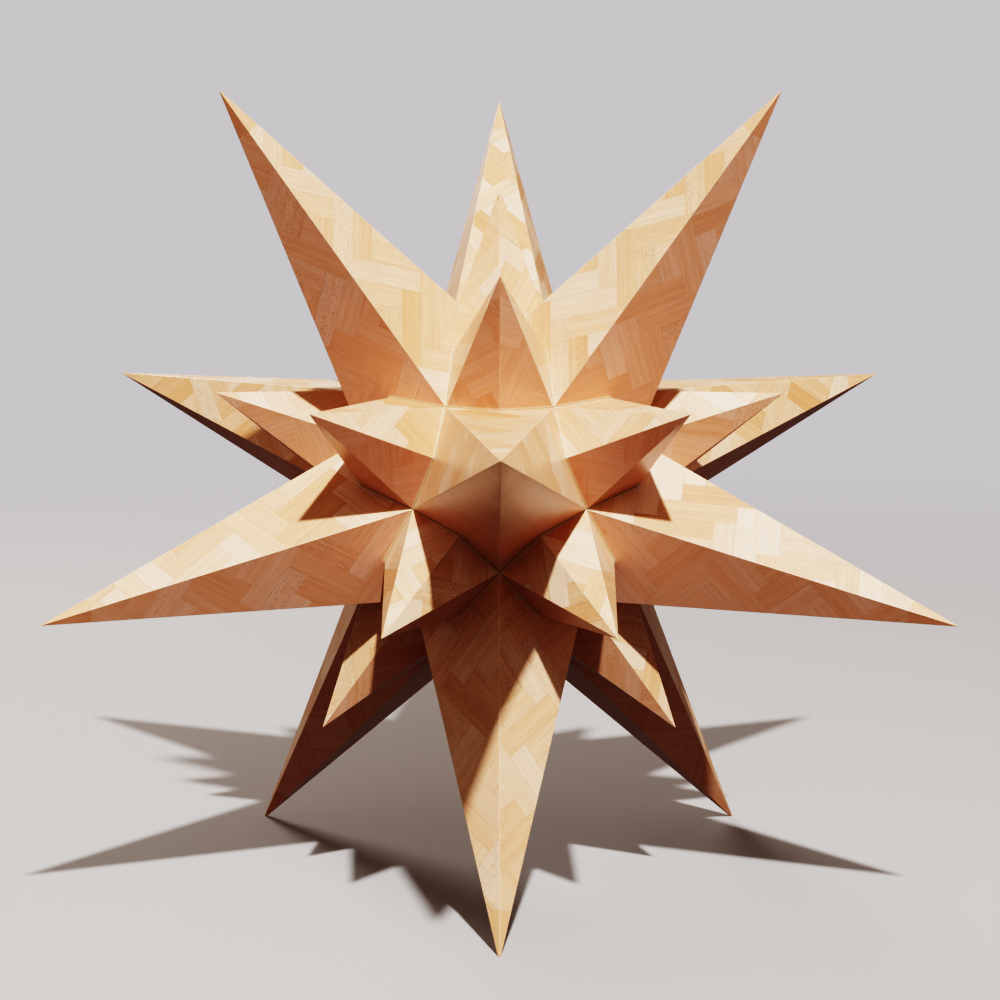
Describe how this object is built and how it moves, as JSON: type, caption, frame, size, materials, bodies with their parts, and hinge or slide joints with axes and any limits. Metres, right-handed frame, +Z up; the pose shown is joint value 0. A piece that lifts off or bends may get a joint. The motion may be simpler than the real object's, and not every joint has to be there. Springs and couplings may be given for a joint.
{
  "type": "wooden star sculpture",
  "caption": "Free-standing hollow wooden star of long and short pyramid spikes on a plywood core. It stands on its lowest long spikes; the other long spikes pull straight out of sockets.",
  "frame": {"origin": "on the floor, straight under the star's centre, so the leg flats are at z = 0", "axes": "+Z up; -Y towards the front, where one leg and one long spike point; +X to the right seen from the front"},
  "size_m": [1.8686, 2.1572, 1.7366],
  "materials": {
    "beech_panel": "laminated beech staves in a herringbone, satin clear lacquer",
    "beech_tip": "solid beech with the grain along the spike, satin clear lacquer",
    "beech_block": "sanded beech block, unlacquered",
    "birch_plywood": "sanded birch plywood",
    "screw_steel": "zinc-plated steel"
  },
  "bodies": {
    "star": {"front_leg_panels": "beech_panel", "front_leg_tip": "beech_tip", "front_leg_base": "beech_block", "rear_right_leg_panels": "beech_panel", "rear_right_leg_tip": "beech_tip", "rear_right_leg_base": "beech_block", "rear_left_leg_panels": "beech_panel", "rear_left_leg_tip": "beech_tip", "rear_left_leg_base": "beech_block", "top_point": "beech_panel", "upper_front_point": "beech_panel", "upper_rear_right_point": "beech_panel", "upper_rear_left_point": "beech_panel", "front_right_point": "beech_panel", "front_left_point": "beech_panel", "right_point": "beech_panel", "left_point": "beech_panel", "rear_right_point": "beech_panel", "rear_left_point": "beech_panel", "lower_front_right_point": "beech_panel", "lower_front_left_point": "beech_panel", "lower_right_point": "beech_panel", "lower_left_point": "beech_panel", "lower_rear_right_point": "beech_panel", "lower_rear_left_point": "beech_panel", "under_right_point": "beech_panel", "under_left_point": "beech_panel", "under_rear_point": "beech_panel", "bottom_point": "beech_panel", "core_plates": "birch_plywood", "socket_rings": "beech_block", "short_spike_blocks": "beech_block", "core_screws": "screw_steel"},
    "front_spike": {"front_spike_panels": "beech_panel", "front_spike_tip": "beech_tip", "front_spike_base": "beech_block"},
    "rear_right_spike": {"rear_right_spike_panels": "beech_panel", "rear_right_spike_tip": "beech_tip", "rear_right_spike_base": "beech_block"},
    "rear_left_spike": {"rear_left_spike_panels": "beech_panel", "rear_left_spike_tip": "beech_tip", "rear_left_spike_base": "beech_block"},
    "upper_right_spike": {"upper_right_spike_panels": "beech_panel", "upper_right_spike_tip": "beech_tip", "upper_right_spike_base": "beech_block"},
    "upper_rear_spike": {"upper_rear_spike_panels": "beech_panel", "upper_rear_spike_tip": "beech_tip", "upper_rear_spike_base": "beech_block"},
    "upper_left_spike": {"upper_left_spike_panels": "beech_panel", "upper_left_spike_tip": "beech_tip", "upper_left_spike_base": "beech_block"},
    "side_right_spike": {"side_right_spike_panels": "beech_panel", "side_right_spike_tip": "beech_tip", "side_right_spike_base": "beech_block"},
    "rear_spike": {"rear_spike_panels": "beech_panel", "rear_spike_tip": "beech_tip", "rear_spike_base": "beech_block"},
    "side_left_spike": {"side_left_spike_panels": "beech_panel", "side_left_spike_tip": "beech_tip", "side_left_spike_base": "beech_block"}
  },
  "joints": [
    {"name": "front_spike_slide", "type": "slide", "parent": "star", "child": "front_spike", "axis": [0, -0.9822, 0.1876], "range_m": [0, 0.13]},
    {"name": "rear_right_spike_slide", "type": "slide", "parent": "star", "child": "rear_right_spike", "axis": [0.8507, 0.4911, 0.1876], "range_m": [0, 0.13]},
    {"name": "rear_left_spike_slide", "type": "slide", "parent": "star", "child": "rear_left_spike", "axis": [-0.8507, 0.4911, 0.1876], "range_m": [0, 0.13]},
    {"name": "upper_right_spike_slide", "type": "slide", "parent": "star", "child": "upper_right_spike", "axis": [0.5257, -0.3035, 0.7947], "range_m": [0, 0.13]},
    {"name": "upper_rear_spike_slide", "type": "slide", "parent": "star", "child": "upper_rear_spike", "axis": [0, 0.6071, 0.7947], "range_m": [0, 0.13]},
    {"name": "upper_left_spike_slide", "type": "slide", "parent": "star", "child": "upper_left_spike", "axis": [-0.5257, -0.3035, 0.7947], "range_m": [0, 0.13]},
    {"name": "side_right_spike_slide", "type": "slide", "parent": "star", "child": "side_right_spike", "axis": [0.8507, -0.4911, -0.1876], "range_m": [0, 0.13]},
    {"name": "rear_spike_slide", "type": "slide", "parent": "star", "child": "rear_spike", "axis": [0, 0.9822, -0.1876], "range_m": [0, 0.13]},
    {"name": "side_left_spike_slide", "type": "slide", "parent": "star", "child": "side_left_spike", "axis": [-0.8507, -0.4911, -0.1876], "range_m": [0, 0.13]}
  ]
}
